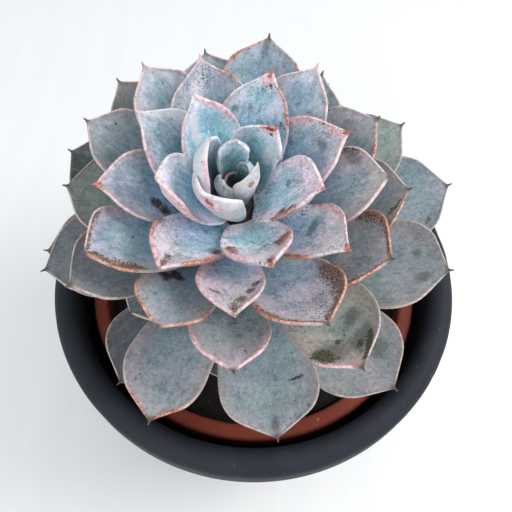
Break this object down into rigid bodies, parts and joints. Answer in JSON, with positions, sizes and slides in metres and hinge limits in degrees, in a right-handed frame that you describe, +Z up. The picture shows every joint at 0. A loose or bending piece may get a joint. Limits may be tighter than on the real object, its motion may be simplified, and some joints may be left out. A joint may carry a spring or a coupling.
{
  "type": "potted echeveria",
  "caption": "Blue-grey succulent rosette with broad pointed leaves on a short bare stem, leaning forward in a round nursery pot inside a charcoal planter.",
  "frame": {"origin": "middle of the planter's flat underside, on the table", "axes": "+Z up along the axis of both pots; -Y is the side that the rosette leans towards and that faces the viewer; +X is to the viewer's right"},
  "size_m": [0.152, 0.152, 0.1811],
  "materials": {
    "charcoal": "matte charcoal with a worn, slightly lighter lip",
    "red_brown": "thin matte red-brown moulded plastic with pale specks of dirt",
    "dark_soil": "nearly black crumbly potting soil with a few brown crumbs",
    "bark": "dry grey-brown stem with rings of old leaf scars",
    "blue_grey": "waxy blue-grey leaf with a powdery bloom, lavender towards thin pink margins"
  },
  "bodies": {
    "root": {"outer_pot": "charcoal", "inner_pot": "red_brown", "soil": "dark_soil", "stem": "bark", "heart": "blue_grey", "leaf_06": "blue_grey", "leaf_07": "blue_grey", "leaf_08": "blue_grey", "leaf_09": "blue_grey", "leaf_10": "blue_grey", "leaf_11": "blue_grey", "leaf_12": "blue_grey", "leaf_13": "blue_grey", "leaf_14": "blue_grey", "leaf_15": "blue_grey", "leaf_16": "blue_grey", "leaf_17": "blue_grey", "leaf_18": "blue_grey", "leaf_19": "blue_grey", "leaf_20": "blue_grey", "leaf_21": "blue_grey", "leaf_22": "blue_grey", "leaf_23": "blue_grey", "leaf_24": "blue_grey", "leaf_25": "blue_grey", "leaf_26": "blue_grey", "leaf_27": "blue_grey", "leaf_28": "blue_grey", "leaf_29": "blue_grey", "leaf_30": "blue_grey", "leaf_31": "blue_grey", "leaf_32": "blue_grey", "leaf_33": "blue_grey", "leaf_34": "blue_grey", "leaf_35": "blue_grey", "leaf_36": "blue_grey", "leaf_37": "blue_grey", "leaf_38": "blue_grey", "leaf_39": "blue_grey", "leaf_40": "blue_grey", "leaf_41": "blue_grey", "leaf_42": "blue_grey", "leaf_43": "blue_grey", "leaf_44": "blue_grey", "leaf_45": "blue_grey", "leaf_46": "blue_grey", "leaf_47": "blue_grey", "leaf_48": "blue_grey", "leaf_49": "blue_grey", "leaf_50": "blue_grey", "leaf_51": "blue_grey", "leaf_52": "blue_grey", "leaf_53": "blue_grey", "leaf_54": "blue_grey", "leaf_55": "blue_grey"}
  },
  "joints": []
}
